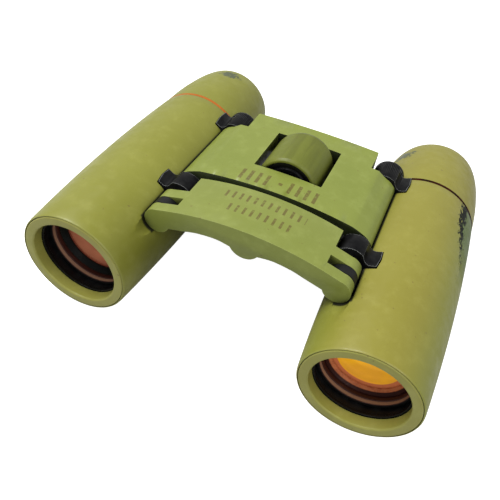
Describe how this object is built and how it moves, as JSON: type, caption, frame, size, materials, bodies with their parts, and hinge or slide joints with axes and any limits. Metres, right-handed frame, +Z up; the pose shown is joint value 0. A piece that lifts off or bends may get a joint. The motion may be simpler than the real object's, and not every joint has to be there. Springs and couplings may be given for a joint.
{
  "type": "folding pocket binoculars",
  "caption": "Compact folding binoculars: round barrels on a double-hinged bridge, focus wheel in a bridge window, front focusing arm, diopter ring on the right eyepiece.",
  "frame": {"origin": "middle of the width and length, on the plane the barrels rest on", "axes": "+X across towards the right barrel, +Y from objectives to eyepieces, +Z up"},
  "size_m": [0.1172, 0.103, 0.0421],
  "materials": {
    "olive_paint": "satin olive coating",
    "green_paint": "satin yellow-green paint over moulded plastic",
    "wheel_paint": "smooth green, slightly glossier",
    "black_plastic": "black moulded, low sheen",
    "black_anodised": "black anodised",
    "rubber": "matt",
    "steel": "turned",
    "brass": "turned",
    "copper": "copper-coloured ring",
    "rust_ring": "orange-brown accent ring",
    "amber_glass": "amber reflective coating",
    "clear_glass": "polished"
  },
  "bodies": {
    "main_bridge": {"main_bridge": "green_paint", "bridge_cover": "black_plastic", "cover_screw_1": "steel", "cover_screw_2": "steel", "cover_screw_3": "steel", "cover_screw_4": "steel", "axle_plug": "black_plastic", "hinge_pin_left": "steel", "hinge_pin_right": "steel", "hinge_washer_left": "rubber", "hinge_washer_right": "rubber"},
    "focus_wheel": {"focus_wheel": "wheel_paint", "wheel_hub": "black_plastic", "focus_screw": "steel", "thrust_washer": "steel"},
    "front_arm": {"front_arm": "green_paint", "focus_nut": "brass"},
    "left_barrel": {"left_shell": "olive_paint", "left_chassis": "black_plastic", "left_front_bezel": "olive_paint", "left_stop_ring": "black_anodised", "left_seam_ring": "rust_ring", "left_prism_front": "clear_glass", "left_prism_roof": "clear_glass", "left_prism_cradle": "black_plastic", "left_baffle": "black_anodised", "left_field_stop": "black_anodised", "left_rear_cap": "olive_paint", "left_eyepiece_tube": "black_plastic", "left_field_lens": "clear_glass", "left_field_ring": "black_anodised", "left_eye_lens": "clear_glass", "left_eyecup": "rubber"},
    "left_carrier": {"left_objective_cell": "black_plastic", "left_lens_ring": "copper", "left_crown_lens": "amber_glass", "left_flint_lens": "clear_glass", "left_spacer_ring": "black_anodised"},
    "right_barrel": {"right_shell": "olive_paint", "right_chassis": "black_plastic", "right_front_bezel": "olive_paint", "right_stop_ring": "black_anodised", "right_seam_ring": "rust_ring", "right_prism_front": "clear_glass", "right_prism_roof": "clear_glass", "right_prism_cradle": "black_plastic", "right_baffle": "black_anodised", "right_field_stop": "black_anodised"},
    "right_carrier": {"right_objective_cell": "black_plastic", "right_lens_ring": "copper", "right_crown_lens": "amber_glass", "right_flint_lens": "clear_glass", "right_spacer_ring": "black_anodised"},
    "diopter_ring": {"right_diopter_ring": "olive_paint"},
    "right_eyepiece": {"right_eyepiece_tube": "black_plastic", "right_field_lens": "clear_glass", "right_field_ring": "black_anodised", "right_eye_lens": "clear_glass", "right_eyecup": "rubber"}
  },
  "joints": [
    {"name": "focus_turn", "type": "hinge", "parent": "main_bridge", "child": "focus_wheel", "pos_m": [0.00075, 0.0035, 0.0326], "axis": [0, 1, 0], "range_deg": [-170, 228]},
    {"name": "arm_slide", "type": "slide", "parent": "main_bridge", "child": "front_arm", "axis": [0, -1, 0], "range_m": [-0.0015, 0.002]},
    {"name": "fold_left", "type": "hinge", "parent": "main_bridge", "child": "left_barrel", "pos_m": [-0.02475, 0, 0.02962], "axis": [0, -1, 0], "range_deg": [-3, 78]},
    {"name": "fold_right", "type": "hinge", "parent": "main_bridge", "child": "right_barrel", "pos_m": [0.02641, 0, 0.03158], "axis": [0, 1, 0], "range_deg": [-15, 66]},
    {"name": "left_carrier_slide", "type": "slide", "parent": "left_barrel", "child": "left_carrier", "axis": [0, -1, 0], "range_m": [-0.0015, 0.002]},
    {"name": "right_carrier_slide", "type": "slide", "parent": "right_barrel", "child": "right_carrier", "axis": [0, -1, 0], "range_m": [-0.0015, 0.002]},
    {"name": "diopter_turn", "type": "hinge", "parent": "right_barrel", "child": "diopter_ring", "pos_m": [0.04086, 0.035, 0.0177], "axis": [0, 1, 0], "range_deg": [-60, 60]},
    {"name": "right_eyepiece_slide", "type": "slide", "parent": "right_barrel", "child": "right_eyepiece", "axis": [0, 1, 0], "range_m": [-0.001, 0.001]}
  ],
  "couplings": [
    {"joint": "arm_slide", "follows": "focus_turn", "m_per_rad": 0.0005},
    {"joint": "left_carrier_slide", "follows": "focus_turn", "m_per_rad": 0.0005},
    {"joint": "right_carrier_slide", "follows": "focus_turn", "m_per_rad": 0.0005},
    {"joint": "right_eyepiece_slide", "follows": "diopter_turn", "m_per_rad": 0.00095}
  ]
}
